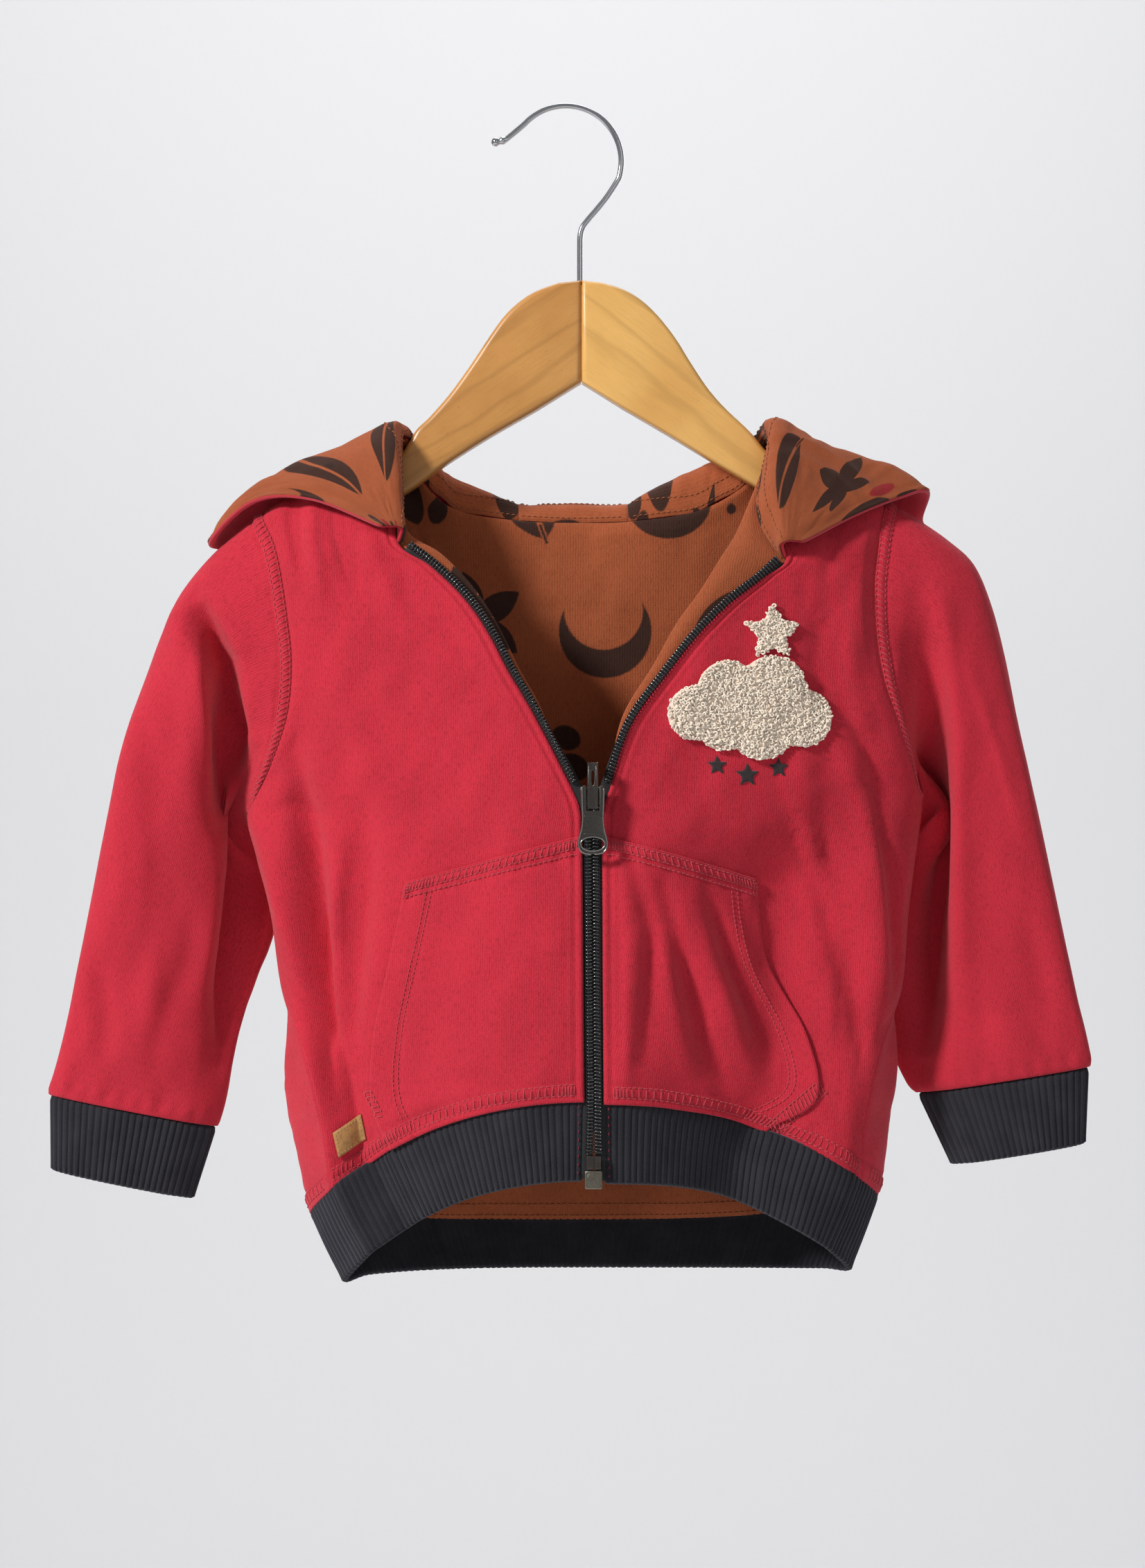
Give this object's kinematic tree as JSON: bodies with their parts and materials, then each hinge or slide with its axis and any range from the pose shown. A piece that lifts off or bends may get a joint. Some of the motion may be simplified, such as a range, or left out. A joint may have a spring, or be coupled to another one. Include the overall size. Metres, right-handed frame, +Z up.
{
  "type": "baby cardigan",
  "caption": "Baby's hooded zip cardigan in red jersey with a printed rust lining, charcoal ribbing and kangaroo pockets, hanging open on a wooden child's hanger.",
  "frame": {"origin": "the top of the inside of the hanger's hook, where the rail bears", "axes": "+Z up, the zip faces -Y, +X towards the right of the hanging garment as seen from its front"},
  "size_m": [0.4355, 0.1078, 0.4924],
  "materials": {
    "jersey_red": "fine cotton jersey, crimson, matt",
    "jersey_rust": "fine ribbed cotton jersey, rust orange, printed with dark brown shapes and crimson dots",
    "rib_charcoal": "1x1 cotton rib, charcoal, matt",
    "zip_tape": "woven polyester tape, black",
    "zip_coil": "nylon coil, black, glossy",
    "gunmetal": "gunmetal plated zinc, satin",
    "leather": "bare tan leather label",
    "wool": "looped boucle yarn, cream grey",
    "felt": "dark felt",
    "wood_left": "golden brown beech, satin varnish",
    "wood_right": "honey beech, satin varnish",
    "chrome": "bright plated steel wire"
  },
  "bodies": {
    "root": {"back": "jersey_red", "front_left": "jersey_red", "front_right": "jersey_red", "sleeve_left": "jersey_red", "sleeve_right": "jersey_red", "pocket_left": "jersey_red", "pocket_right": "jersey_red", "hood_side_left": "jersey_red", "hood_side_right": "jersey_red", "hood_gusset": "jersey_red", "lining_back": "jersey_rust", "lining_left": "jersey_rust", "lining_right": "jersey_rust", "hood_lining_left": "jersey_rust", "hood_lining_right": "jersey_rust", "hood_lining_gusset": "jersey_rust", "cuff_left": "rib_charcoal", "cuff_right": "rib_charcoal", "hem_rib": "rib_charcoal", "zip_tape_left": "zip_tape", "zip_tape_right": "zip_tape", "zip_chain_left": "zip_coil", "zip_chain_right": "zip_coil", "zip_coil_left": "zip_coil", "zip_coil_right": "zip_coil", "zip_pin": "gunmetal", "zip_box": "gunmetal", "zip_slider": "gunmetal", "label": "leather", "motif_cloud": "wool", "motif_star": "wool", "motif_felt_1": "felt", "motif_felt_2": "felt", "motif_felt_3": "felt", "hanger_left": "wood_left", "hanger_right": "wood_right", "hook": "chrome"},
    "pull": {"zip_pull": "gunmetal"}
  },
  "joints": [
    {"name": "pull_swing", "type": "hinge", "parent": "root", "child": "pull", "pos_m": [0.0122, -0.0499, -0.2846], "axis": [-1, 0, 0], "range_deg": [0, 120]}
  ]
}
